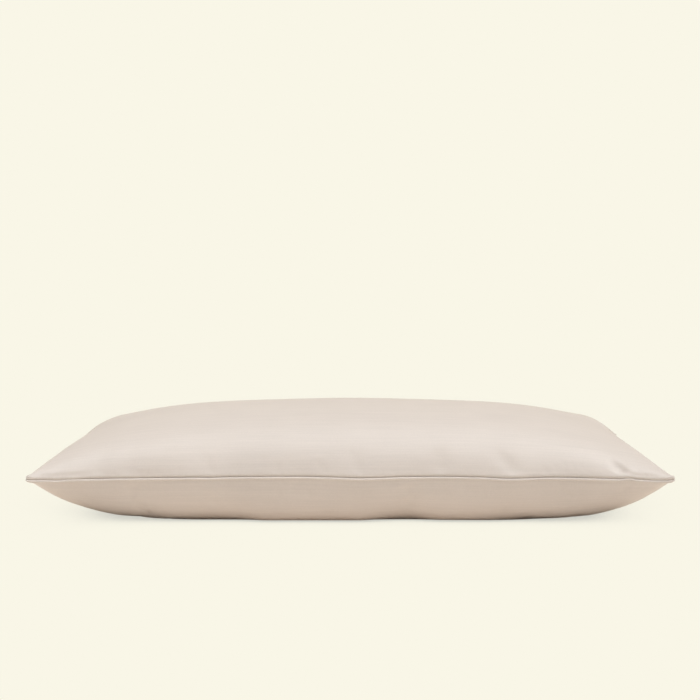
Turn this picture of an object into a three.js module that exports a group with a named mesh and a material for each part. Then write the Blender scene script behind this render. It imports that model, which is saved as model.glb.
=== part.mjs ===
// A filled body pillow cover lying on its back: two panels of sateen joined by one plain turned seam.
// Millimetres. Its length runs along x, its front long side faces -y, and z = 0 is the surface it lies on.
import * as THREE from 'three';

// Outline in plan
const TIP_LENGTH = 1368; // from point to point along a long side
const TIP_WIDTH = 508; // from point to point along an end
const TIP_ROUND = 5; // how far each point is rounded back along x and along y
const TIP_FLARE = 20; // the panels stay flat this near to a point, which leaves a small blunt nub
const NUB_ROUND = 9; // the seam thins this near to a point, which rounds the nub
const NUB_THIN = { top: 0.25, bottom: 0.75 }; // by this much of each panel's half of it
const SIDE_DRAW = 48; // how far the filling draws in the middle of a long side
const SIDE_DRAW_POWER = 4.2;
const END_DRAW = 53; // how far it draws in the middle of an end
const END_DRAW_POWER = 2.4;
const SEAM_TUCK = 4.5; // how far the stitching pulls the long sides' edges in
const SEAM_TUCK_SPAN = 16; // how far into the panels that reaches
const SEAM_TUCK_POWER = 6;

// Heights
const SEAM_HEIGHT = 120; // seam line above the surface along the sides
const TIP_LIFT = { front: 5.4, backLeft: -3.9, backRight: 0.5 }; // how much higher it stands at the points
const TIP_LIFT_POWERS = { length: 10, width: 4 };
const CROWN_RISE = 128.8; // top panel above its edge at the middle

// Flat resting face under the belly: its half size as a share of s and t, and how far it stands proud
const REST_LENGTH = 0.45;
const REST_WIDTH = 0.45;
const REST_PROUD = 0.6;

// Each panel swells by (1 - distance^power)^fullness, along its length and across its width.
// The crown's distance is measured from the middle, and the belly's from the edge of its resting face.
const SWELLS = {
  top: {
    left: { power: 2.59, fullness: 0.42 },
    right: { power: 2.7, fullness: 0.42 },
    across: { power: 2.9, fullness: 0.93 },
  },
  bottom: {
    left: { power: 2.9, fullness: 0.486 },
    right: { power: 2.9, fullness: 0.428 },
    across: { power: 2.43, fullness: 1 },
  },
};

// Turned seam, from the lower panel's edge to the upper one's: a thin roll, a groove and a soft turn.
// out and up are measured in lips from the seam line.
const LIP = 3.2; // half the height of one panel's edge at the seam
const SEAM_SECTION = [
  { out: 0.7, up: -1.3 },
  { out: 0.7, up: -0.6 },
  { out: -1, up: 0.1 },
  { out: 0, up: 0.5 },
  { out: 0.05, up: 1.2 },
];

// Folds and swells of the panels. s runs along the length and t across the width, both from -1 to 1,
// with t = -1 at the front seam. A row's trough lies on the line from (s0, t0) to (s1, t1).
// width is the half width of the trough and depth is how far it sinks; a swell has a depth below zero.
const FOLDS = [
  { panel: 'top', s0: 0.85, t0: -0.99, s1: 0.838, t1: -0.92, width: 15, depth: 4 },
  { panel: 'top', s0: 0.88, t0: -1, s1: 0.876, t1: -0.95, width: 14, depth: -1.6 },
  { panel: 'top', s0: -0.94, t0: -0.86, s1: -0.95, t1: -0.6, width: 50, depth: -4.4 },
  { panel: 'top', s0: -0.8, t0: -0.78, s1: -0.6, t1: -0.78, width: 50, depth: -5 },
  { panel: 'top', s0: 0.93, t0: -0.9, s1: 0.94, t1: -0.7, width: 35, depth: -3.2 },
  { panel: 'top', s0: -0.28, t0: 0, s1: -0.28, t1: 0.5, width: 150, depth: 2.5 },
  { panel: 'top', s0: 0.3, t0: 0, s1: 0.3, t1: 0.5, width: 150, depth: 2.7 },
  { panel: 'top', s0: -0.88, t0: 0.55, s1: -0.9, t1: 0.85, width: 45, depth: -4 },
  { panel: 'top', s0: 0.895, t0: 0.55, s1: 0.915, t1: 0.85, width: 45, depth: -6.2 },
  { panel: 'top', s0: -0.7, t0: -0.98, s1: -0.712, t1: -0.88, width: 20, depth: 2.4 },
  { panel: 'top', s0: -0.79, t0: -0.98, s1: -0.8, t1: -0.86, width: 24, depth: 2 },
  { panel: 'top', s0: 0.015, t0: -0.98, s1: 0.01, t1: -0.93, width: 22, depth: 1 },
  { panel: 'top', s0: 0.282, t0: -0.98, s1: 0.285, t1: -0.93, width: 22, depth: 1.5 },
  { panel: 'top', s0: 0.523, t0: -0.99, s1: 0.48, t1: -0.91, width: 16, depth: 2.4 },
  { panel: 'top', s0: -0.5, t0: 0.98, s1: -0.47, t1: 0.87, width: 22, depth: 4 },
  { panel: 'top', s0: 0.1, t0: 0.97, s1: 0.2, t1: 0.93, width: 24, depth: 3 },
  { panel: 'top', s0: 0.72, t0: 0.98, s1: 0.7, t1: 0.86, width: 20, depth: 4 },
  { panel: 'bottom', s0: -0.66, t0: -0.93, s1: -0.68, t1: -0.76, width: 24, depth: 2 },
  { panel: 'bottom', s0: 0.187, t0: -0.9, s1: 0.19, t1: -0.62, width: 34, depth: 3 },
  { panel: 'bottom', s0: 0.52, t0: -0.95, s1: 0.5, t1: -0.75, width: 24, depth: 2 },
  { panel: 'bottom', s0: -0.28, t0: -0.62, s1: 0.02, t1: -0.62, width: 55, depth: -7 },
  { panel: 'bottom', s0: 0.32, t0: -0.62, s1: 0.48, t1: -0.62, width: 50, depth: -5.5 },
  { panel: 'bottom', s0: 0.72, t0: -0.6, s1: 0.82, t1: -0.5, width: 60, depth: -1.6 },
];
const FOLD_FADE = 15; // height above the surface over which the bottom panel's folds fade in

// Places where the stitching lifts the seam line or draws it in more or less than elsewhere,
// each with the half width of the place
const SEAM_PULLS = [
  { side: 'front', s: -0.905, width: 16, rise: -1.3, tuck: 0 },
  { side: 'front', s: -0.56, width: 150, rise: -0.9, tuck: 0 },
  { side: 'front', s: -0.44, width: 20, rise: -0.8, tuck: 0 },
  { side: 'front', s: -0.2, width: 90, rise: 0, tuck: 2.5 },
  { side: 'front', s: 0.04, width: 66, rise: -2.4, tuck: -2 },
  { side: 'front', s: 0.25, width: 80, rise: 0, tuck: 2 },
  { side: 'front', s: 0.5, width: 54, rise: -2.8, tuck: -1.5 },
  { side: 'front', s: 0.7, width: 60, rise: 0, tuck: 2.5 },
  { side: 'front', s: 0.862, width: 16, rise: 2.4, tuck: 0 },
  { side: 'front', s: 0.94, width: 24, rise: -1.2, tuck: 0 },
  { side: 'back', s: -0.4, width: 50, rise: 2, tuck: 1.5 },
  { side: 'back', s: 0.55, width: 60, rise: 1.6, tuck: -1.5 },
];

// Mesh of each panel, with its cells drawn together towards the seam
const LENGTH_CELLS = 88;
const WIDTH_CELLS = 24;
const EDGE_CROWDING = 0.35;

const COVER_COLOUR = '#dacdc1';
const COVER_ROUGHNESS = 0.48;

/** Positions from -1 to 1 that crowd towards both ends. */
function spread(cells) {
  return Array.from({ length: cells + 1 }, (_, i) => {
    const even = (2 * i) / cells - 1;
    return even * (1 + EDGE_CROWDING * (1 - even * even));
  });
}

function swell(distance, { power, fullness }) {
  return Math.pow(Math.max(1 - Math.pow(distance, power), 0), fullness);
}

/** How far a distance from the middle lies past an inner part of it, again from 0 to 1. */
function past(inner, distance) {
  return Math.max(distance - inner, 0) / (1 - inner);
}

function bell(distance, width) {
  return Math.exp(-((distance / width) ** 2));
}

/** Sum of one measure of the seam's pulls at (s, t). */
function seamPull(s, t, measure) {
  const side = t < 0 ? 'front' : 'back';
  let total = 0;
  for (const pull of SEAM_PULLS) {
    if (pull.side === side) total += pull[measure] * bell(((s - pull.s) * TIP_LENGTH) / 2, pull.width);
  }
  return total;
}

/** How far (s, t) lies from the nearest point of the cover, along its length and its width. */
function fromTip(s, t) {
  return new THREE.Vector2(((1 - Math.abs(s)) * TIP_LENGTH) / 2, ((1 - Math.abs(t)) * TIP_WIDTH) / 2);
}

/** Where the point (s, t) of a panel lies in plan. */
function plan(s, t) {
  const u = Math.abs(s);
  const v = Math.abs(t);
  const tip = fromTip(s, t);
  const rounding = TIP_ROUND * Math.exp(-(tip.x + tip.y) / TIP_ROUND);
  const stitched = SEAM_TUCK * (1 - Math.pow(u, SEAM_TUCK_POWER)) + seamPull(s, t, 'tuck');
  const tuck = stitched * Math.exp(-tip.y / SEAM_TUCK_SPAN);
  const reach = TIP_LENGTH / 2 - END_DRAW * (1 - Math.pow(v, END_DRAW_POWER));
  const breadth = TIP_WIDTH / 2 - SIDE_DRAW * (1 - Math.pow(u, SIDE_DRAW_POWER));
  return { x: s * reach - Math.sign(s) * rounding, y: t * breadth - Math.sign(t) * (rounding + tuck) };
}

/** Height of the seam line, carried across the panels so that they follow its rises at their edges. */
function seamHeight(s, t) {
  const toTip = Math.pow(Math.abs(s), TIP_LIFT_POWERS.length) * Math.pow(Math.abs(t), TIP_LIFT_POWERS.width);
  const backLift = s < 0 ? TIP_LIFT.backLeft : TIP_LIFT.backRight;
  const nearness = Math.pow(Math.abs(t), TIP_LIFT_POWERS.length);
  return SEAM_HEIGHT + toTip * (t < 0 ? TIP_LIFT.front : backLift) + nearness * seamPull(s, t, 'rise');
}

/** How much of its height a panel's half of the seam keeps, which falls close to a point. */
function nub(panel, s, t) {
  return 1 - NUB_THIN[panel] * bell(fromTip(s, t).length(), NUB_ROUND);
}

/** How far a panel has swollen at (s, t), from 0 at its edge to 1 at its fullest. */
function fullnessOf(panel, s, t) {
  const shape = SWELLS[panel];
  const end = s < 0 ? shape.left : shape.right;
  const u = Math.abs(s);
  const v = Math.abs(t);
  const flare = 1 - bell(fromTip(s, t).length(), TIP_FLARE);
  if (panel === 'top') return flare * swell(u, end) * swell(v, shape.across);
  return flare * swell(past(REST_LENGTH, u), end) * swell(past(REST_WIDTH, v), shape.across);
}

/** Whether (s, t) of the bottom panel lies on the resting face. */
function onRest(s, t) {
  return Math.abs(s) <= REST_LENGTH && Math.abs(t) <= REST_WIDTH;
}

/** The smooth panel, before its folds. */
function smoothPoint(panel, s, t) {
  const { x, y } = plan(s, t);
  const seam = seamHeight(s, t);
  const fullness = fullnessOf(panel, s, t);
  const edge = 2 * LIP * nub(panel, s, t);
  if (panel === 'top') return new THREE.Vector3(x, y, seam + edge + CROWN_RISE * fullness);
  if (onRest(s, t)) return new THREE.Vector3(x, y, 0);
  return new THREE.Vector3(x, y, REST_PROUD + (seam - edge - REST_PROUD) * (1 - fullness));
}

/** Distance in the flat cloth from (s, t) to a fold's line. */
function clothDistance(s, t, fold) {
  const halfLength = TIP_LENGTH / 2;
  const halfWidth = TIP_WIDTH / 2;
  const line = new THREE.Line3(
    new THREE.Vector3(fold.s0 * halfLength, fold.t0 * halfWidth, 0),
    new THREE.Vector3(fold.s1 * halfLength, fold.t1 * halfWidth, 0),
  );
  const point = new THREE.Vector3(s * halfLength, t * halfWidth, 0);
  return line.closestPointToPoint(point, true, new THREE.Vector3()).distanceTo(point);
}

/** Outward direction of a smooth panel, from two short steps on it. */
function panelNormal(panel, s, t) {
  const step = 1e-3;
  const inner = 1 - 2 * step;
  const s0 = THREE.MathUtils.clamp(s, -inner, inner);
  const t0 = THREE.MathUtils.clamp(t, -inner, inner);
  const along = smoothPoint(panel, s0 + step, t0).sub(smoothPoint(panel, s0 - step, t0));
  const across = smoothPoint(panel, s0, t0 + step).sub(smoothPoint(panel, s0, t0 - step));
  const normal = along.cross(across).normalize();
  return panel === 'top' ? normal : normal.negate();
}

/** A panel's point with its folds, which fade out at the seam and on the flat face. */
function panelPoint(panel, s, t) {
  const point = smoothPoint(panel, s, t);
  const edgeFade = Math.min(1, (1 - Math.abs(t)) * WIDTH_CELLS, (1 - Math.abs(s)) * LENGTH_CELLS);
  const floorFade = Math.min(1, point.z / FOLD_FADE);
  let depth = 0;
  for (const fold of FOLDS) {
    if (fold.panel === panel) depth += fold.depth * bell(clothDistance(s, t, fold), fold.width);
  }
  point.addScaledVector(panelNormal(panel, s, t), -depth * edgeFade * floorFade);
  const lowest = onRest(s, t) ? 0 : REST_PROUD;
  point.z = Math.max(point.z, lowest);
  return point;
}

/** The seam's places in order round the cover, as grid columns and rows, from the front left point. */
function seamRing() {
  const ring = [];
  for (let i = 0; i < LENGTH_CELLS; i += 1) ring.push([i, 0]);
  for (let j = 0; j < WIDTH_CELLS; j += 1) ring.push([LENGTH_CELLS, j]);
  for (let i = LENGTH_CELLS; i > 0; i -= 1) ring.push([i, WIDTH_CELLS]);
  for (let j = WIDTH_CELLS; j > 0; j -= 1) ring.push([0, j]);
  return ring;
}

/** One closed solid: top panel, bottom panel and the lips and groove of the seam between them. */
function pillowGeometry() {
  const columns = spread(LENGTH_CELLS);
  const rows = spread(WIDTH_CELLS);
  const positions = [];
  const faces = [];

  const addPoint = (point) => positions.push(point.x, point.y, point.z) / 3 - 1;
  const addQuad = (a, b, c, d) => faces.push(a, b, c, a, c, d);

  const addPanel = (panel) => {
    const grid = columns.map((s) => rows.map((t) => addPoint(panelPoint(panel, s, t))));
    for (let i = 0; i < LENGTH_CELLS; i += 1) {
      for (let j = 0; j < WIDTH_CELLS; j += 1) {
        const corners = [grid[i][j], grid[i + 1][j], grid[i + 1][j + 1], grid[i][j + 1]];
        if (panel === 'bottom') corners.reverse();
        addQuad(...corners);
      }
    }
    return grid;
  };
  const top = addPanel('top');
  const bottom = addPanel('bottom');

  const ring = seamRing();
  const places = ring.map(([i, j]) => {
    const { x, y } = plan(columns[i], rows[j]);
    return new THREE.Vector3(x, y, seamHeight(columns[i], rows[j]));
  });
  const outward = places.map((_, k) => {
    const ahead = places[(k + 1) % ring.length];
    const behind = places[(k + ring.length - 1) % ring.length];
    return new THREE.Vector3(ahead.y - behind.y, behind.x - ahead.x, 0).normalize();
  });
  const addRing = ({ out, up }) =>
    places.map((place, k) => {
      const [i, j] = ring[k];
      const point = place.clone().addScaledVector(outward[k], LIP * out);
      point.z += LIP * up * nub(up > 0 ? 'top' : 'bottom', columns[i], rows[j]);
      return addPoint(point);
    });
  const seamRings = [
    ring.map(([i, j]) => bottom[i][j]),
    ...SEAM_SECTION.map(addRing),
    ring.map(([i, j]) => top[i][j]),
  ];
  for (let level = 0; level + 1 < seamRings.length; level += 1) {
    const lower = seamRings[level];
    const upper = seamRings[level + 1];
    for (let k = 0; k < ring.length; k += 1) {
      const next = (k + 1) % ring.length;
      addQuad(lower[k], lower[next], upper[next], upper[k]);
    }
  }

  const geometry = new THREE.BufferGeometry();
  geometry.setAttribute('position', new THREE.Float32BufferAttribute(positions, 3));
  geometry.setIndex(faces);
  geometry.computeVertexNormals();
  return geometry;
}

const sateen = new THREE.MeshStandardMaterial({
  color: COVER_COLOUR,
  roughness: COVER_ROUGHNESS,
  metalness: 0,
});
const pillow = new THREE.Mesh(pillowGeometry(), sateen);
pillow.name = 'pillow_cover';

const part = new THREE.Group();
part.name = 'body_pillow_cover';
part.add(pillow);

export default part;
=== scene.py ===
"""A filled body pillow cover in pale sateen, lying on a plain cream floor."""
import math
from collections import namedtuple

import bpy
import numpy as np
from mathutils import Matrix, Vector

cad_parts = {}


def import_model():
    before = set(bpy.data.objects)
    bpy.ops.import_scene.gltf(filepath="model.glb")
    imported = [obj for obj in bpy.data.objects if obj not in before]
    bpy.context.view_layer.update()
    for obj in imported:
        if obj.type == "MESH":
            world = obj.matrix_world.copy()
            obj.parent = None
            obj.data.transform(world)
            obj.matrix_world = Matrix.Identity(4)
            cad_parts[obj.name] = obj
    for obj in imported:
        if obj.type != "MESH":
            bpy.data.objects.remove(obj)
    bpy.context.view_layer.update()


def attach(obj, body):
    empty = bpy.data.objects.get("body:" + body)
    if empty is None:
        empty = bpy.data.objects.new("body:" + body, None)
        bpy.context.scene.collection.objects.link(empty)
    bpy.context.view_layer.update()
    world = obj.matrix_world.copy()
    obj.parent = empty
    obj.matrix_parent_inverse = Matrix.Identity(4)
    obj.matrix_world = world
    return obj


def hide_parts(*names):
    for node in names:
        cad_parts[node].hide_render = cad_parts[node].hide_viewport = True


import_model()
MM = 0.001

# Outline in plan, as in the solid
HALF_LENGTH = 684 * MM
HALF_WIDTH = 254 * MM
TIP_ROUND = 5 * MM
SIDE_DRAW = 48 * MM
SIDE_DRAW_POWER = 4.2
END_DRAW = 53 * MM
END_DRAW_POWER = 2.4
SEAM_TUCK = 4.5 * MM  # how far the stitching pulls the long sides' edges in
SEAM_TUCK_SPAN = 16 * MM
SEAM_TUCK_POWER = 6

# Tips, which end in small blunt nubs, with shares of the thickness of a panel's half of the seam
TIP_FLARE = {"top": 16 * MM, "bottom": 20 * MM}  # how near to a tip a panel stays flat
NUB_SWELL = {"top": 0.45, "bottom": -0.25}  # share added near a front tip
NUB_SPAN = 12 * MM
NUB_THIN = {"top": 0.85, "bottom": 0.75}  # share lost at the very end of any tip, which rounds it
NUB_ROUND = 5 * MM

# Heights
LIP = 3.2 * MM  # half the height of one seam lip, and how far it stands out
SEAM_HEIGHT = 120 * MM
TipLift = namedtuple("TipLift", "front back_left back_right")
TIP_LIFT = TipLift(5.4 * MM, -3.9 * MM, 0.5 * MM)  # how far the seam rises towards each tip
TIP_LIFT_LENGTH_POWER = 10
TIP_LIFT_WIDTH_POWER = 4
CROWN_RISE = 126.2 * MM  # top panel above its edge at the middle, before the cloth settles
REST_LENGTH = 0.45  # share of the bottom panel's length that lies flat
REST_WIDTH = 0.45

# A panel swells by (1 - distance^power)^fullness, along its length and across its width
Swell = namedtuple("Swell", "power fullness")
SWELLS = {
    "top": {"left": Swell(2.59, 0.42), "right": Swell(2.7, 0.42), "across": Swell(2.9, 0.93)},
    "bottom": {"left": Swell(2.9, 0.486), "right": Swell(2.9, 0.428), "across": Swell(2.43, 1.0)},
}

# Folds: s runs along the length and t across the width, both from -1 to 1, with t = -1 at the front seam.
# A trough lies on the line from (s0, t0) to (s1, t1). Width and depth are in mm, and a swell's depth
# is below zero.
Fold = namedtuple("Fold", "panel s0 t0 s1 t1 width depth")
FOLDS = (
    Fold("top", 0.85, -0.99, 0.838, -0.92, 12, 3.9),
    Fold("top", 0.88, -1, 0.876, -0.95, 10, -1.4),
    Fold("top", -0.94, -0.86, -0.95, -0.6, 50, -4.4),
    Fold("top", -0.8, -0.78, -0.6, -0.78, 50, -5),
    Fold("top", -0.88, -0.88, -0.64, -0.88, 22, -2.2),
    Fold("top", -0.28, 0, -0.28, 0.5, 150, 2.5),
    Fold("top", 0.3, 0, 0.3, 0.5, 150, 2.7),
    Fold("top", -0.88, 0.55, -0.9, 0.85, 45, -4),
    Fold("top", 0.895, 0.55, 0.915, 0.85, 45, -6.2),
    Fold("top", 0.93, -0.9, 0.94, -0.7, 35, -3.2),
    Fold("top", -0.7, -0.98, -0.712, -0.88, 20, 2.4),
    Fold("top", -0.79, -0.98, -0.8, -0.86, 24, 2),
    Fold("top", 0.015, -0.98, 0.01, -0.93, 22, 1),
    Fold("top", 0.282, -0.98, 0.285, -0.93, 22, 1.5),
    Fold("top", 0.523, -0.99, 0.48, -0.91, 16, 2),
    Fold("top", -0.5, 0.98, -0.47, 0.87, 22, 4),
    Fold("top", 0.1, 0.97, 0.2, 0.93, 24, 3),
    Fold("top", 0.72, 0.98, 0.7, 0.86, 20, 4),
    Fold("bottom", -0.86, -0.95, -0.85, -0.87, 24, 2.2),
    Fold("bottom", -0.7, -0.95, -0.7, -0.86, 22, 1.6),
    Fold("bottom", -0.66, -0.93, -0.68, -0.76, 24, 2),
    Fold("bottom", 0.187, -0.9, 0.19, -0.62, 34, 3),
    Fold("bottom", 0.52, -0.95, 0.5, -0.75, 24, 2),
    Fold("bottom", -0.28, -0.62, 0.02, -0.62, 55, -7),
    Fold("bottom", 0.32, -0.62, 0.48, -0.62, 50, -5.5),
    Fold("bottom", 0.72, -0.6, 0.82, -0.5, 60, -1.6),
    Fold("bottom", -0.88, -0.66, -0.8, -0.63, 28, -1.6),
    Fold("bottom", -0.95, -0.785, -0.928, -0.75, 20, -2.1),
    Fold("bottom", 0.83, -0.63, 0.88, -0.65, 28, -1.7),
    Fold("bottom", 0.925, -0.72, 0.945, -0.76, 20, -1.9),
)
FOLD_FADE = 15 * MM  # height above the floor over which the bottom panel's folds fade in
EDGE_FADE = 9 * MM  # distance from the seam over which any fold fades in

# Places where the stitching lifts the seam line or draws it in more or less than elsewhere, in mm,
# or where the cloth swells over it and shuts the groove
Pull = namedtuple("Pull", "side s width rise tuck shut", defaults=[0])
SEAM_PULLS = (
    Pull("front", -0.905, 16, -1.3, 0),
    Pull("front", -0.862, 20, 0, 0, 0.75),
    Pull("front", -0.56, 150, -0.9, 0),
    Pull("front", -0.44, 20, -0.8, 0),
    Pull("front", -0.2, 90, 0, 2.5),
    Pull("front", 0.04, 66, -2.4, -2),
    Pull("front", 0.25, 80, 0, 2),
    Pull("front", 0.5, 54, -2.8, -1.5),
    Pull("front", 0.7, 60, 0, 2.5),
    Pull("front", 0.862, 11, 2.4, 0, 0.6),
    Pull("front", 0.94, 24, -1.2, 0),
    Pull("front", 0.95, 45, 0, 0, 0.45),
    Pull("front", -0.96, 32, 0, 0, 0.35),
    Pull("back", -0.4, 50, 2, 1.5),
    Pull("back", 0.55, 60, 1.6, -1.5),
)

# Turned seam from the lower panel's edge to the upper one's, in lips: a thin roll, a groove and a soft turn
SeamPoint = namedtuple("SeamPoint", "out up")
SEAM_SECTION = (
    SeamPoint(0.1, -1.9),
    SeamPoint(0.5, -1.5),
    SeamPoint(0.8, -1.1),
    SeamPoint(0.82, -0.8),
    SeamPoint(0.65, -0.5),
    SeamPoint(0.3, -0.25),
    SeamPoint(-0.2, -0.08),
    SeamPoint(-1.0, 0.1),
    SeamPoint(-0.25, 0.3),
    SeamPoint(0, 0.5),
    SeamPoint(0.06, 0.9),
    SeamPoint(0.04, 1.5),
)
SHUT_OUT = 0.5  # how far out the cloth lies, in lips, where it shuts the groove

# Mesh of each panel, with its cells drawn together towards the seam
LENGTH_CELLS = 340
WIDTH_CELLS = 110
EDGE_CROWDING = 0.42
NORMAL_STEP = 0.001  # step in s and t over which a panel's slope is read

# Simulated cloth, with cells twice as long: held at the seam and where it rests, and pressed out from inside
CLOTH_FRAMES = 20
CLOTH_QUALITY = 5
CLOTH_PRESSURE = 1
CLOTH_BENDING = 1.5
CLOTH_CAP = 4 * MM  # the furthest that a point may move
REST_HELD = 1 * MM  # what lies lower than this is held
NO_MOVEMENT = 1e-9  # stands in for a movement of nothing, where movements are divided by
CURVE_NEAR = 9 / 16  # weight of each of the two points beside a new one, on a curve through four points
CURVE_FAR = 1 / 16  # weight that each of the two points further out takes away
UNEVENNESS = 0.05 * MM  # chance unevenness that the puckers grow from
CHANCE_SEED = 5
SLACK = 0.008  # largest share of extra cloth along the seam
SLACK_SPAN = 36 * MM
Slack = namedtuple("Slack", "front back ends")
SLACK_SHARES = Slack(0.1, 0.6, 0.7)

# Sateen: noises over the flat cloth, each with its cells a metre along and across the cloth,
# how far it changes the tone, and how high it stands in mm
SATEEN = (0.61, 0.534, 0.477)
SPECULAR = 0.5
ROUGHNESS = (0.41, 0.49)
NOISE_SPAN = (0.25, 0.75)  # most of the values that a noise takes
Texture = namedtuple("Texture", "along across detail tone height")
TEXTURES = {
    "clouds": Texture(9, 11, 2, 0.015, 0.8),
    "bands": Texture(3, 120, 2, 0.015, 0),
    "slubs": Texture(7, 420, 3, 0.035, 0.05),
    "grain": Texture(260, 330, 1, 0.02, 0),
    "threads": Texture(250, 2200, 1, 0, 0.03),
}

# Studio
CREAM = (0.9473, 0.9216, 0.7991)
FLOOR_SIZE = 80
BACKDROP_RADIUS = 60
FRONT_SKY = (0.205, 0.226, 0.262)
BACK_SKY = (0.665, 0.6, 0.505)

# The floor that throws light up: a darker sheet under the pillow as painted shade, and painted light where
# it glows a little round it
# Painted shade: the darker colour of the floor under the pillow
PAINTED_SHADE_UNDER_PILLOW = (0.54, 0.47, 0.39)
ROUND_PILLOW = (0.8, 0.785, 0.74)
GLOW = (0.188, 0.112, 0.058)
UNDER_LENGTH = 0.92  # how long the darker sheet of painted shade is, as a share of the pillow's length
UNDER_WIDTH = 0.74  # how wide it is at the middle, as a share of the pillow's width
UNDER_WIDENING = 0.19  # how much wider it is at the ends
UNDER_POWER = 4
BOUNCE_REACH = (20, 40, 1)  # how many times larger the whole floor is
BOUNCE_DROP = 0.1 * MM  # how far it lies under the seen floor

# The seen floor carries a painted shadow: its own glow dims where ambient occlusion finds the pillow
# shutting it off from the light, which is taken to come from low in front
LIT_FROM = (0, -0.94, 0.34)
SHADOW_REACH = 300 * MM
SHADOW_SHADE = 0.62  # how bright the floor stays where it is shut in
SHADOW_POWER = 3.5  # how fast the shadow falls off
SHADOW_TINT = (1.07, 1.03, 0.92)  # powers of the shade in each colour, which turn it a little blue
SHUT_IN = 0.2  # share of open directions at which the floor counts as shut in
OPEN = 0.66  # share of them at which it is in full light

# Softboxes over the pillow: the direction towards each one, and its strength
Softbox = namedtuple("Softbox", "x y z strength")
SOFTBOXES = (
    Softbox(0.5, -0.2, 0.84, 1.32),
    Softbox(-0.5, -0.2, 0.84, 0.55),
    Softbox(0, -0.3, 0.95, 1.28),
)
SOFTBOX_ANGLE = 40  # degrees across, seen from the pillow
SOFTBOX_COLOUR = (0.94, 0.98, 1)

# Camera, as in the photograph
CAMERA_LENS = 55.23
CAMERA_PLACE = (-0.0008, -2.4555, 0.6494)
CAMERA_PITCH = -6.482  # degrees above the horizon
LEVEL = 90  # degrees by which a camera that looks down is raised to look level


def spread(cells):
    """Positions from -1 to 1 that crowd towards both ends."""
    even = np.linspace(-1, 1, cells + 1)
    return even * (1 + EDGE_CROWDING * (1 - even ** 2))


def swell(distance, shape):
    """How full a panel is at a distance from the middle, from 1 at the middle to 0 at the edge."""
    return np.maximum(1 - distance ** shape.power, 0) ** shape.fullness


def past(inner, distance):
    """How far a distance from the middle lies past an inner part of it, again from 0 to 1."""
    return np.maximum(distance - inner, 0) / (1 - inner)


def bell(distance, width):
    """A smooth bump, 1 high, that falls to about a third at its width."""
    return np.exp(-((distance / width) ** 2))


def smooth_step(share):
    """A soft rise from 0 to 1."""
    share = np.clip(share, 0, 1)
    return share ** 2 * (3 - 2 * share)


def seam_pull(s, t, measure):
    """Sum of one measure of the seam's pulls at (s, t)."""
    total = np.zeros_like(s)
    for pull in SEAM_PULLS:
        facing = t < 0 if pull.side == "front" else t > 0
        total += facing * getattr(pull, measure) * bell((s - pull.s) * HALF_LENGTH, pull.width * MM)
    return total


def plan(s, t):
    """Where the point (s, t) of a panel lies in plan."""
    u, v = np.abs(s), np.abs(t)
    tip_distance = (1 - u) * HALF_LENGTH + (1 - v) * HALF_WIDTH
    rounding = TIP_ROUND * np.exp(-tip_distance / TIP_ROUND)
    x = s * (HALF_LENGTH - END_DRAW * (1 - v ** END_DRAW_POWER)) - np.sign(s) * rounding
    tuck = SEAM_TUCK * (1 - u ** SEAM_TUCK_POWER) + seam_pull(s, t, "tuck") * MM
    tuck = tuck * np.exp(-(1 - v) * HALF_WIDTH / SEAM_TUCK_SPAN)
    y = t * (HALF_WIDTH - SIDE_DRAW * (1 - u ** SIDE_DRAW_POWER)) - np.sign(t) * (rounding + tuck)
    return x, y


def from_edge(s, t):
    """Distance in the flat cloth from (s, t) to the seam."""
    return np.minimum((1 - np.abs(t)) * HALF_WIDTH, (1 - np.abs(s)) * HALF_LENGTH)


def from_tip(s, t):
    """Distance in the flat cloth from (s, t) to the nearest tip."""
    return np.hypot((1 - np.abs(s)) * HALF_LENGTH, (1 - np.abs(t)) * HALF_WIDTH)


def nubs(panel, s, t):
    """How thick a panel's half of the seam is close to a tip, as a share of its thickness elsewhere."""
    distance = from_tip(s, t)
    swelling = np.where(t < 0, NUB_SWELL[panel], 0) * bell(distance, NUB_SPAN)
    return 1 + swelling - NUB_THIN[panel] * bell(distance, NUB_ROUND)


def seam_height(s, t):
    """Height of the seam line, carried across the panels so that they follow its rises at their edges."""
    to_tip = np.abs(s) ** TIP_LIFT_LENGTH_POWER * np.abs(t) ** TIP_LIFT_WIDTH_POWER
    back_lift = np.where(s < 0, TIP_LIFT.back_left, TIP_LIFT.back_right)
    height = SEAM_HEIGHT + to_tip * np.where(t < 0, TIP_LIFT.front, back_lift)
    height += seam_pull(s, t, "rise") * MM * np.abs(t) ** TIP_LIFT_LENGTH_POWER
    return height


def smooth_panel(panel, s, t):
    """The panel before its folds."""
    x, y = plan(s, t)
    seam = seam_height(s, t)
    shape = SWELLS[panel]
    u, v = np.abs(s), np.abs(t)
    nub = bell(from_tip(s, t), TIP_FLARE[panel])
    if panel == "bottom":
        u, v = past(REST_LENGTH, u), past(REST_WIDTH, v)
    along = np.where(s < 0, swell(u, shape["left"]), swell(u, shape["right"]))
    fullness = along * swell(v, shape["across"]) * (1 - nub)
    edge = 2 * LIP * nubs(panel, s, t)
    if panel == "top":
        z = seam + edge + CROWN_RISE * fullness
    else:
        z = (seam - edge) * (1 - fullness)
    return np.stack([x, y, z], axis=-1)


def panel_normals(panel, s, t):
    """Outward directions of a smooth panel, from two short steps on it."""
    inner = 1 - 2 * NORMAL_STEP
    s0, t0 = np.clip(s, -inner, inner), np.clip(t, -inner, inner)
    along = smooth_panel(panel, s0 + NORMAL_STEP, t0) - smooth_panel(panel, s0 - NORMAL_STEP, t0)
    across = smooth_panel(panel, s0, t0 + NORMAL_STEP) - smooth_panel(panel, s0, t0 - NORMAL_STEP)
    normal = np.cross(along, across)
    normal /= np.linalg.norm(normal, axis=-1, keepdims=True)
    return normal if panel == "top" else -normal


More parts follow.
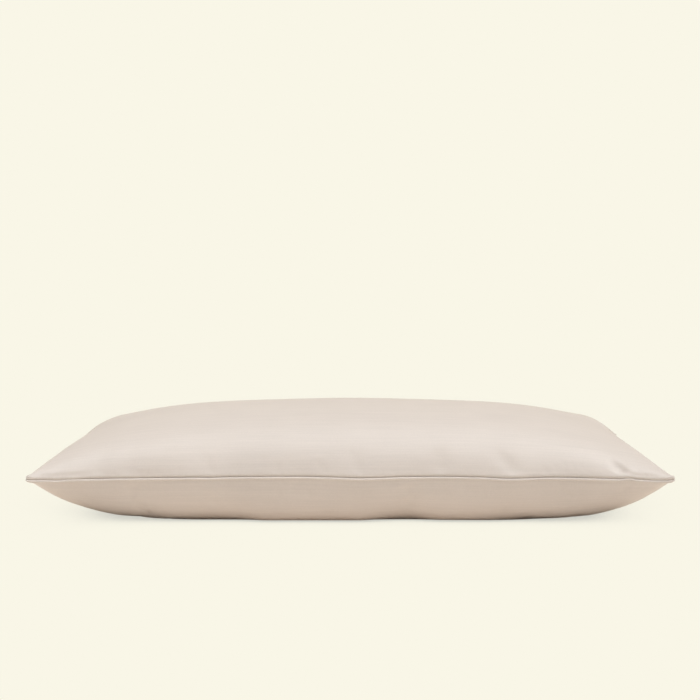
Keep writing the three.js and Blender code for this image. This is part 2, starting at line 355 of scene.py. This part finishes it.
def cloth_distance(s, t, fold):
    """Distance in the flat cloth from (s, t) to a fold's line."""
    start = np.array([fold.s0 * HALF_LENGTH, fold.t0 * HALF_WIDTH])
    run = np.array([fold.s1 * HALF_LENGTH, fold.t1 * HALF_WIDTH]) - start
    offset = np.stack([s * HALF_LENGTH, t * HALF_WIDTH], axis=-1) - start
    share = np.clip(offset @ run / (run @ run), 0, 1)
    return np.linalg.norm(offset - share[..., None] * run, axis=-1)


def panel_points(panel, s, t):
    """The panel with its folds sunk into it."""
    points = smooth_panel(panel, s, t)
    depth = np.zeros_like(s)
    for fold in FOLDS:
        if fold.panel == panel:
            depth += fold.depth * MM * bell(cloth_distance(s, t, fold), fold.width * MM)
    fade = smooth_step(from_edge(s, t) / EDGE_FADE) * smooth_step(points[..., 2] / FOLD_FADE)
    points -= panel_normals(panel, s, t) * (depth * fade)[..., None]
    points[..., 2] = np.maximum(points[..., 2], 0)
    return points


def panel_grid(length_cells, width_cells):
    """Every (s, t) of a panel's mesh, and the number of each of its points."""
    s, t = np.meshgrid(spread(length_cells), spread(width_cells), indexing="ij")
    return s, t, np.arange(s.size).reshape(s.shape)


def seam_ring(index):
    """The grid's outer places as columns and rows, once round the cover from the front left tip."""
    length_cells, width_cells = np.array(index.shape) - 1
    front, right = np.arange(length_cells), np.arange(width_cells)
    columns = [front, right * 0 + length_cells, length_cells - front, right * 0]
    rows = [front * 0, right, front * 0 + width_cells, width_cells - right]
    return np.concatenate(columns), np.concatenate(rows)


def quad_strip(lower, upper):
    """Faces between two closed rings of points."""
    return np.stack([lower, np.roll(lower, -1), np.roll(upper, -1), upper], axis=-1)


def skin_faces(index, lips=0):
    """Faces of both panels, and of the strips between them and so many rings of lips."""
    corners = [index[:-1, :-1], index[1:, :-1], index[1:, 1:], index[:-1, 1:]]
    quads = np.stack(corners, axis=-1).reshape(-1, 4)
    edge = index[seam_ring(index)]
    rings = [2 * index.size + i * len(edge) + np.arange(len(edge)) for i in range(lips)]
    rings = [edge + index.size, *rings, edge]
    faces = [quads, quads[:, ::-1] + index.size]
    faces += [quad_strip(lower, upper) for lower, upper in zip(rings, rings[1:])]
    return np.concatenate(faces)


def slack(s, t):
    """Extra length of the cloth near the seam, as a share of SLACK."""
    share = np.where(t < 0, SLACK_SHARES.front, SLACK_SHARES.back)
    at_ends = (1 - np.abs(s)) * HALF_LENGTH < (1 - np.abs(t)) * HALF_WIDTH
    return np.where(at_ends, SLACK_SHARES.ends, share) * bell(from_edge(s, t), SLACK_SPAN)


def cloth_object(points, faces, held, loose):
    """The skin to simulate, with its groups and its cloth settings."""
    mesh = bpy.data.meshes.new("cloth")
    mesh.from_pydata(points.tolist(), [], faces.tolist())
    skin = bpy.data.objects.new("cloth", mesh)
    bpy.context.scene.collection.objects.link(skin)
    skin.vertex_groups.new(name="held").add(np.flatnonzero(held).tolist(), 1, "REPLACE")
    tight = skin.vertex_groups.new(name="tight")
    for point, share in enumerate(loose):
        tight.add([point], 1 - share, "REPLACE")
    cloth = skin.modifiers.new("cloth", "CLOTH")
    cloth.settings.quality = CLOTH_QUALITY
    cloth.settings.bending_stiffness = CLOTH_BENDING
    cloth.settings.use_pressure = True
    cloth.settings.uniform_pressure_force = CLOTH_PRESSURE
    cloth.settings.vertex_group_mass = "held"
    cloth.settings.vertex_group_shrink = "tight"
    cloth.settings.shrink_min = -SLACK
    cloth.settings.shrink_max = 0
    cloth.settings.effector_weights.gravity = 0
    cloth.collision_settings.use_collision = False
    cloth.point_cache.frame_end = CLOTH_FRAMES
    return skin


def settle(s, t, index):
    """How far each point of both panels moves when the cloth settles."""
    points = np.stack([panel_points(panel, s, t) for panel in ("top", "bottom")])
    normals = np.stack([panel_normals(panel, s, t) for panel in ("top", "bottom")])
    held = (from_edge(s, t) == 0) | (points[..., 2] < REST_HELD)
    chance = np.random.default_rng(seed=CHANCE_SEED).normal(0, UNEVENNESS, held.shape) * ~held
    uneven = points + normals * chance[..., None]
    loose = np.tile(slack(s, t).ravel(), 2)
    skin = cloth_object(uneven.reshape(-1, 3), skin_faces(index), held.ravel(), loose)
    for cloth_frame in range(1, CLOTH_FRAMES + 1):
        bpy.context.scene.frame_set(cloth_frame)
    settled = np.empty(points.size, np.float32)
    seen = skin.evaluated_get(bpy.context.evaluated_depsgraph_get())
    seen.data.vertices.foreach_get("co", settled)
    bpy.context.scene.frame_set(1)
    bpy.data.objects.remove(skin)
    moved = settled.reshape(points.shape) - points
    moved[held] = 0
    distance = np.linalg.norm(moved, axis=-1, keepdims=True)
    return moved * np.minimum(1, CLOTH_CAP / np.maximum(distance, NO_MOVEMENT))


def refine(grid, axis):
    """A grid with twice as many cells along one axis, its new points on curves through the old ones."""
    grid = np.moveaxis(grid, axis, 0)
    ends = [2 * grid[:1] - grid[1:2], grid, 2 * grid[-1:] - grid[-2:-1]]
    a, b, c, d = (np.concatenate(ends)[i:len(grid) - 1 + i] for i in range(4))
    fine = np.empty((2 * len(grid) - 1, *grid.shape[1:]))
    fine[::2] = grid
    fine[1::2] = CURVE_NEAR * (b + c) - CURVE_FAR * (a + d)
    return np.moveaxis(fine, 0, axis)


def settled_movement():
    """The cloth's movement carried over to the finer mesh."""
    moved = settle(*panel_grid(LENGTH_CELLS // 2, WIDTH_CELLS // 2))
    return refine(refine(moved, 1), 2)


def seam_rings(s, t):
    """The seam's lips and groove as rings of points, from the lower panel to the upper one."""
    place = np.stack([*plan(s, t), seam_height(s, t)], axis=-1)
    ahead = np.roll(place, -1, axis=0) - np.roll(place, 1, axis=0)
    outward = np.stack([ahead[:, 1], -ahead[:, 0], np.zeros(len(s))], axis=-1)
    outward /= np.linalg.norm(outward, axis=-1, keepdims=True)
    shut = seam_pull(s, t, "shut")
    rings = []
    for point in SEAM_SECTION:
        out = point.out + shut * (SHUT_OUT - point.out)
        up = point.up * nubs("top" if point.up > 0 else "bottom", s, t)
        rings.append(place + LIP * (out[:, None] * outward + up[:, None] * np.array([0, 0, 1])))
    return rings


def pillow_mesh():
    """Both panels and the seam between them as one closed mesh, with the flat cloth as its UV map."""
    s, t, index = panel_grid(LENGTH_CELLS, WIDTH_CELLS)
    panels = np.stack([panel_points(panel, s, t) for panel in ("top", "bottom")])
    panels += settled_movement()
    panels[..., 2] = np.maximum(panels[..., 2], 0)
    ring = seam_ring(index)
    lips = seam_rings(s[ring], t[ring])
    points = np.concatenate([panels.reshape(-1, 3), *lips])
    faces = skin_faces(index, len(lips))
    flat = np.stack([s * HALF_LENGTH, t * HALF_WIDTH], axis=-1)
    cloth = np.concatenate([flat.reshape(-1, 2)] * 2 + [flat[ring]] * len(lips))
    mesh = bpy.data.meshes.new("pillow")
    mesh.from_pydata(points.tolist(), [], faces.tolist())
    layer = mesh.uv_layers.new(name="cloth")
    layer.data.foreach_set("uv", cloth[faces.ravel()].astype(np.float32).ravel())
    mesh.polygons.foreach_set("use_smooth", np.ones(len(faces), bool))
    mesh.update()
    return mesh


class Nodes:
    """Short ways to add the nodes of one material."""

    def __init__(self, material):
        self.tree = material.node_tree

    def add(self, kind, settings=(), links=()):
        """A node with its input values set and its inputs joined to other nodes' outputs."""
        made = self.tree.nodes.new(kind)
        for socket, value in dict(settings).items():
            made.inputs[socket].default_value = value
        for socket, output in dict(links).items():
            self.tree.links.new(output, made.inputs[socket])
        return made

    def noise(self, cloth, texture):
        """A texture's noise over the flat cloth."""
        scaled = self.add("ShaderNodeVectorMath", {1: (texture.along, texture.across, 1)}, {0: cloth})
        scaled.operation = "MULTIPLY"
        settings = {"Scale": 1, "Detail": texture.detail}
        return self.add("ShaderNodeTexNoise", settings, {"Vector": scaled.outputs["Vector"]}).outputs["Fac"]

    def span(self, value, before, after):
        """The value carried from one span to another."""
        ends = {"From Min": before[0], "From Max": before[1], "To Min": after[0], "To Max": after[1]}
        return self.add("ShaderNodeMapRange", ends, {"Value": value}).outputs["Result"]

    def ramp(self, noise, low, high):
        """Noise carried to the span from low to high."""
        return self.span(noise, NOISE_SPAN, (low, high))

    def blend(self, kind, a, b):
        """Two values joined by one kind of sum."""
        made = self.add("ShaderNodeMath", (), {0: a, 1: b})
        made.operation = kind
        return made.outputs["Value"]

    def bump(self, height, distance, under=None):
        """A bump of this height in metres, laid over another bump's normals."""
        links = {"Height": height}
        if under:
            links["Normal"] = under
        return self.add("ShaderNodeBump", {"Strength": 1, "Distance": distance}, links).outputs["Normal"]


def sateen():
    """Pale beige sateen: fine lengthwise threads, faint slubs, soft unevenness."""
    material = bpy.data.materials.new("sateen")
    material.use_nodes = True
    nodes = Nodes(material)
    shader = material.node_tree.nodes["Principled BSDF"]
    shader.inputs["Specular IOR Level"].default_value = SPECULAR
    uv_map = nodes.add("ShaderNodeUVMap")
    uv_map.uv_map = "cloth"
    cloth = uv_map.outputs["UV"]
    shade, normal = None, None
    for name, texture in TEXTURES.items():
        noise = nodes.noise(cloth, texture)
        if texture.tone:
            tone = nodes.ramp(noise, 1 - texture.tone, 1 + texture.tone)
            shade = nodes.blend("MULTIPLY", shade, tone) if shade else tone
        if texture.height:
            normal = nodes.bump(noise, texture.height * MM, normal)
        if name == "slubs":
            roughness = nodes.ramp(noise, *ROUGHNESS)
    colour = nodes.add("ShaderNodeVectorMath", {0: SATEEN}, {1: shade})
    colour.operation = "MULTIPLY"
    links = material.node_tree.links
    links.new(colour.outputs["Vector"], shader.inputs["Base Color"])
    links.new(roughness, shader.inputs["Roughness"])
    links.new(normal, shader.inputs["Normal"])
    return material


def stage_material(name, colour, glow, strength):
    """A matt material that also glows."""
    material = bpy.data.materials.new(name)
    material.use_nodes = True
    shader = material.node_tree.nodes["Principled BSDF"]
    shader.inputs["Base Color"].default_value = (*colour, 1)
    shader.inputs["Roughness"].default_value = 1
    shader.inputs["Specular IOR Level"].default_value = 0
    shader.inputs["Emission Color"].default_value = (*glow, 1)
    shader.inputs["Emission Strength"].default_value = strength
    return material


def seen_floor():
    """The floor that the camera sees. Its light is its own glow, and a shadow is painted into that glow only
    close to the pillow.
    """
    bpy.ops.mesh.primitive_plane_add(size=FLOOR_SIZE)
    seen = bpy.context.object
    seen.name = "floor"
    material = stage_material("floor", (0, 0, 0), CREAM, 1)
    nodes = Nodes(material)
    facing = nodes.add("ShaderNodeCombineXYZ", zip("XYZ", LIT_FROM))
    links = {"Normal": facing.outputs["Vector"]}
    openness = nodes.add("ShaderNodeAmbientOcclusion", {"Distance": SHADOW_REACH}, links)
    shut = nodes.span(openness.outputs["AO"], (OPEN, SHUT_IN), (0, 1))
    shadow = nodes.add("ShaderNodeMath", {1: SHADOW_POWER}, {0: shut})
    shadow.operation = "POWER"
    shade = nodes.span(shadow.outputs["Value"], (0, 1), (1, SHADOW_SHADE))
    tinted = nodes.add("ShaderNodeVectorMath", {1: SHADOW_TINT}, {0: shade})
    tinted.operation = "POWER"
    # The floor's glow, dimmed and turned a little blue by the painted shadow
    glow = nodes.add("ShaderNodeVectorMath", {0: CREAM}, {1: tinted.outputs["Vector"]})
    glow.operation = "MULTIPLY"
    shader = material.node_tree.nodes["Principled BSDF"]
    material.node_tree.links.new(glow.outputs["Vector"], shader.inputs["Emission Color"])
    seen.data.materials.append(material)
    seen.visible_diffuse = seen.visible_glossy = seen.visible_shadow = False


def bounce_floor():
    """The floor that throws light up at the pillow. It glows a little as painted light, except close under
    the pillow, where it is a darker sheet of painted shade.
    """
    s, t, index = panel_grid(LENGTH_CELLS, WIDTH_CELLS)
    ring = seam_ring(index)
    x, y = plan(s[ring], t[ring])
    y_share = UNDER_WIDTH + UNDER_WIDENING * s[ring] ** UNDER_POWER
    inner = np.stack([UNDER_LENGTH * x, y_share * y, np.full(len(x), -BOUNCE_DROP)], axis=-1)
    loops = [inner * (0, 0, 1), inner, inner * BOUNCE_REACH]
    first = np.arange(len(x))
    loop_numbers = [first + i * len(x) for i in range(len(loops))]
    faces = [quad_strip(inside, outside) for inside, outside in zip(loop_numbers, loop_numbers[1:])]
    mesh = bpy.data.meshes.new("bounce_floor")
    mesh.from_pydata(np.concatenate(loops).tolist(), [], np.concatenate(faces).tolist())
    # Painted shade as a darker sheet under the pillow, and a painted glow round it
    mesh.materials.append(stage_material("painted_shade_under_pillow", PAINTED_SHADE_UNDER_PILLOW, GLOW, 0))
    mesh.materials.append(stage_material("round_pillow", ROUND_PILLOW, GLOW, 1))
    mesh.polygons.foreach_set("material_index", np.repeat([0, 1], len(x)).astype(np.int32))
    bounce = bpy.data.objects.new("bounce_floor", mesh)
    bpy.context.scene.collection.objects.link(bounce)
    bounce.visible_camera = False


def backdrop():
    """A far cream dome that only the camera sees, so that no horizon shows."""
    bpy.ops.mesh.primitive_uv_sphere_add(radius=BACKDROP_RADIUS)
    dome = bpy.context.object
    dome.name = "backdrop"
    dome.data.materials.append(stage_material("backdrop", (0, 0, 0), CREAM, 1))
    dome.visible_diffuse = dome.visible_glossy = dome.visible_shadow = False


def world():
    """A neutral sky that brightens from the front to the back."""
    made = bpy.data.worlds.new("studio")
    made.use_nodes = True
    nodes, links = made.node_tree.nodes, made.node_tree.links
    direction = nodes.new("ShaderNodeTexCoord")
    split = nodes.new("ShaderNodeSeparateXYZ")
    share = nodes.new("ShaderNodeMapRange")
    share.inputs["From Min"].default_value = -1
    sky = nodes.new("ShaderNodeMix")
    sky.data_type = "RGBA"
    sky.inputs["A"].default_value = (*FRONT_SKY, 1)
    sky.inputs["B"].default_value = (*BACK_SKY, 1)
    links.new(direction.outputs["Generated"], split.inputs["Vector"])
    links.new(split.outputs["Y"], share.inputs["Value"])
    links.new(share.outputs["Result"], sky.inputs["Factor"])
    links.new(sky.outputs["Result"], nodes["Background"].inputs["Color"])
    bpy.context.scene.world = made


def softboxes():
    """Broad lights, each from its own direction."""
    for i, box in enumerate(SOFTBOXES):
        data = bpy.data.lights.new(f"softbox_{i}", "SUN")
        data.energy = box.strength
        data.color = SOFTBOX_COLOUR
        data.angle = math.radians(SOFTBOX_ANGLE)
        light = bpy.data.objects.new(f"softbox_{i}", data)
        bpy.context.scene.collection.objects.link(light)
        light.rotation_euler = Vector((box.x, box.y, box.z)).to_track_quat("Z", "Y").to_euler()


def camera():
    """The camera at the photograph's place and angle."""
    data = bpy.data.cameras.new("camera")
    data.lens = CAMERA_LENS
    made = bpy.data.objects.new("camera", data)
    made.location = CAMERA_PLACE
    made.rotation_euler = (math.radians(LEVEL + CAMERA_PITCH), 0, 0)
    bpy.context.scene.collection.objects.link(made)
    bpy.context.scene.camera = made


bpy.context.scene.view_settings.view_transform = "Standard"
pillow = bpy.data.objects.new("pillow", pillow_mesh())
bpy.context.scene.collection.objects.link(pillow)
pillow.data.materials.append(sateen())
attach(pillow, "root")
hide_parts("pillow_cover")
seen_floor()
bounce_floor()
backdrop()
world()
softboxes()
camera()
